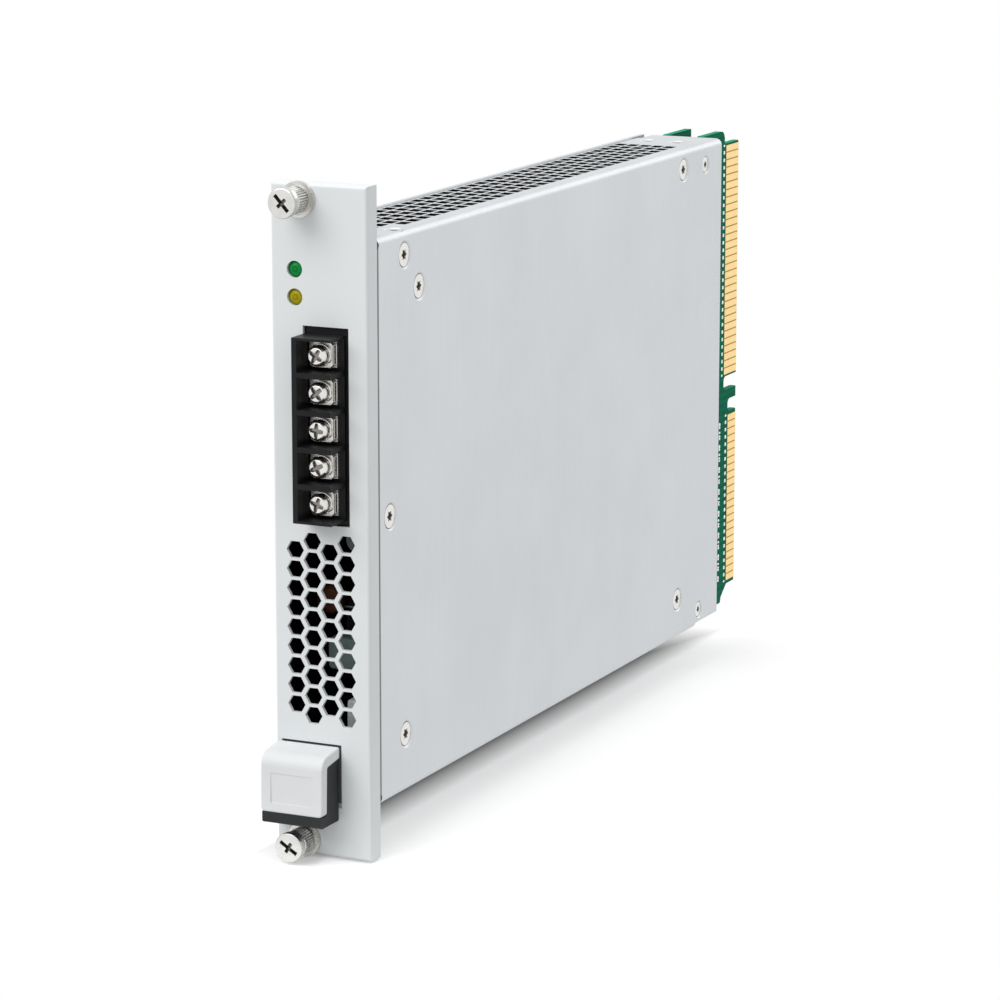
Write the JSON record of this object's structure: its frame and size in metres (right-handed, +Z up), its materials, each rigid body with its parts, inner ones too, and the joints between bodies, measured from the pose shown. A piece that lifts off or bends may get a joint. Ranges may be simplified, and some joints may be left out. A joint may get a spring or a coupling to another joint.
{
  "type": "power supply module",
  "caption": "Plug-in power supply module: narrow front panel with terminal block, honeycomb vent, lamps, pull handle and captive screws; slotted box with card-edge connector.",
  "frame": {"origin": "midway between the two captive screws, on the rear face of the front panel", "axes": "+X right as seen from the front, +Y to the rear along the captive screws, +Z up"},
  "size_m": [0.02, 0.2034, 0.1292],
  "materials": {
    "panel_paint": "pale grey satin paint",
    "sheet_metal": "satin rolled sheet",
    "black_plastic": "moulded, slightly glossy",
    "grey_plastic": "moulded, matt",
    "nickel": "nickel-plated steel",
    "tinned_brass": "tinned",
    "green_lens": "tinted, clear",
    "yellow_lens": "tinted, clear",
    "board_green": "solder resist",
    "gold": "gilded",
    "nylon": "natural nylon",
    "ferrite": "ground ferrite",
    "copper": "enamelled copper",
    "capacitor_sleeve": "shrink sleeve",
    "film_box": "potted case",
    "fuse_glass": "glass with plated caps",
    "bare_aluminium": "extruded",
    "clear_sheet": "insulating film"
  },
  "bodies": {
    "module": {"front_panel": "panel_paint", "green_lamp": "green_lens", "yellow_lamp": "yellow_lens", "lamp_holder": "black_plastic", "terminal_housing": "black_plastic", "terminal_contacts": "tinned_brass", "handle_guide": "black_plastic", "chassis": "sheet_metal", "side_cover": "sheet_metal", "rear_top_bracket": "sheet_metal", "rear_bottom_bracket": "sheet_metal", "wall_screws": "nickel", "rear_wall_screws": "nickel", "top_screws": "nickel", "bottom_screws": "nickel", "cover_screws": "nickel", "main_board": "board_green", "edge_contacts": "gold", "aux_board": "board_green", "board_header": "black_plastic", "standoffs": "nickel", "board_spacers": "nickel", "board_screws": "nickel", "insulating_sheet": "clear_sheet", "fuse_link": "fuse_glass", "fuse_clips": "tinned_brass", "film_capacitor": "film_box", "choke_core": "ferrite", "choke_windings": "copper", "bulk_capacitors": "capacitor_sleeve", "transformer_core": "ferrite", "transformer_winding": "copper", "heat_sink": "bare_aluminium", "power_switches": "black_plastic", "output_inductors": "ferrite", "output_capacitors": "bare_aluminium", "control_chip": "black_plastic", "top_screw_bush": "nickel", "bottom_screw_bush": "nickel"},
    "top_ring": {"top_retaining_ring": "nylon"},
    "top_captive_screw": {"top_thumbscrew": "nickel"},
    "bottom_ring": {"bottom_retaining_ring": "nylon"},
    "bottom_captive_screw": {"bottom_thumbscrew": "nickel"},
    "handle": {"handle_body": "black_plastic", "handle_cap": "grey_plastic"},
    "clamp_plate_1": {"terminal_clamp_1": "nickel"},
    "clamp_screw_1": {"terminal_screw_1": "nickel"},
    "clamp_plate_2": {"terminal_clamp_2": "nickel"},
    "clamp_screw_2": {"terminal_screw_2": "nickel"},
    "clamp_plate_3": {"terminal_clamp_3": "nickel"},
    "clamp_screw_3": {"terminal_screw_3": "nickel"},
    "clamp_plate_4": {"terminal_clamp_4": "nickel"},
    "clamp_screw_4": {"terminal_screw_4": "nickel"},
    "clamp_plate_5": {"terminal_clamp_5": "nickel"},
    "clamp_screw_5": {"terminal_screw_5": "nickel"}
  },
  "joints": [
    {"name": "top_screw_travel", "type": "slide", "parent": "module", "child": "top_ring", "axis": [0, -1, 0], "range_m": [0, 0.0021]},
    {"name": "top_screw_turn", "type": "hinge", "parent": "top_ring", "child": "top_captive_screw", "pos_m": [0, 0, 0.06125], "axis": [0, -1, 0], "continuous": true},
    {"name": "bottom_screw_travel", "type": "slide", "parent": "module", "child": "bottom_ring", "axis": [0, -1, 0], "range_m": [0, 0.0021]},
    {"name": "bottom_screw_turn", "type": "hinge", "parent": "bottom_ring", "child": "bottom_captive_screw", "pos_m": [0, 0, -0.06125], "axis": [0, -1, 0], "continuous": true},
    {"name": "handle_pull", "type": "slide", "parent": "module", "child": "handle", "axis": [0, -1, 0], "range_m": [0, 0.01]},
    {"name": "terminal_1_lift", "type": "slide", "parent": "module", "child": "clamp_plate_1", "axis": [0, -1, 0], "range_m": [0, 0.0025]},
    {"name": "terminal_1_turn", "type": "hinge", "parent": "clamp_plate_1", "child": "clamp_screw_1", "pos_m": [0.0052, -0.007, 0.0048], "axis": [0, -1, 0], "range_deg": [0, 1800]},
    {"name": "terminal_2_lift", "type": "slide", "parent": "module", "child": "clamp_plate_2", "axis": [0, -1, 0], "range_m": [0, 0.0025]},
    {"name": "terminal_2_turn", "type": "hinge", "parent": "clamp_plate_2", "child": "clamp_screw_2", "pos_m": [0.0052, -0.007, 0.0118], "axis": [0, -1, 0], "range_deg": [0, 1800]},
    {"name": "terminal_3_lift", "type": "slide", "parent": "module", "child": "clamp_plate_3", "axis": [0, -1, 0], "range_m": [0, 0.0025]},
    {"name": "terminal_3_turn", "type": "hinge", "parent": "clamp_plate_3", "child": "clamp_screw_3", "pos_m": [0.0052, -0.007, 0.0188], "axis": [0, -1, 0], "range_deg": [0, 1800]},
    {"name": "terminal_4_lift", "type": "slide", "parent": "module", "child": "clamp_plate_4", "axis": [0, -1, 0], "range_m": [0, 0.0025]},
    {"name": "terminal_4_turn", "type": "hinge", "parent": "clamp_plate_4", "child": "clamp_screw_4", "pos_m": [0.0052, -0.007, 0.0258], "axis": [0, -1, 0], "range_deg": [0, 1800]},
    {"name": "terminal_5_lift", "type": "slide", "parent": "module", "child": "clamp_plate_5", "axis": [0, -1, 0], "range_m": [0, 0.0025]},
    {"name": "terminal_5_turn", "type": "hinge", "parent": "clamp_plate_5", "child": "clamp_screw_5", "pos_m": [0.0052, -0.007, 0.0328], "axis": [0, -1, 0], "range_deg": [0, 1800]}
  ],
  "couplings": [
    {"joint": "terminal_1_turn", "follows": "terminal_1_lift", "rad_per_m": 12566},
    {"joint": "terminal_2_turn", "follows": "terminal_2_lift", "rad_per_m": 12566},
    {"joint": "terminal_3_turn", "follows": "terminal_3_lift", "rad_per_m": 12566},
    {"joint": "terminal_4_turn", "follows": "terminal_4_lift", "rad_per_m": 12566},
    {"joint": "terminal_5_turn", "follows": "terminal_5_lift", "rad_per_m": 12566}
  ]
}
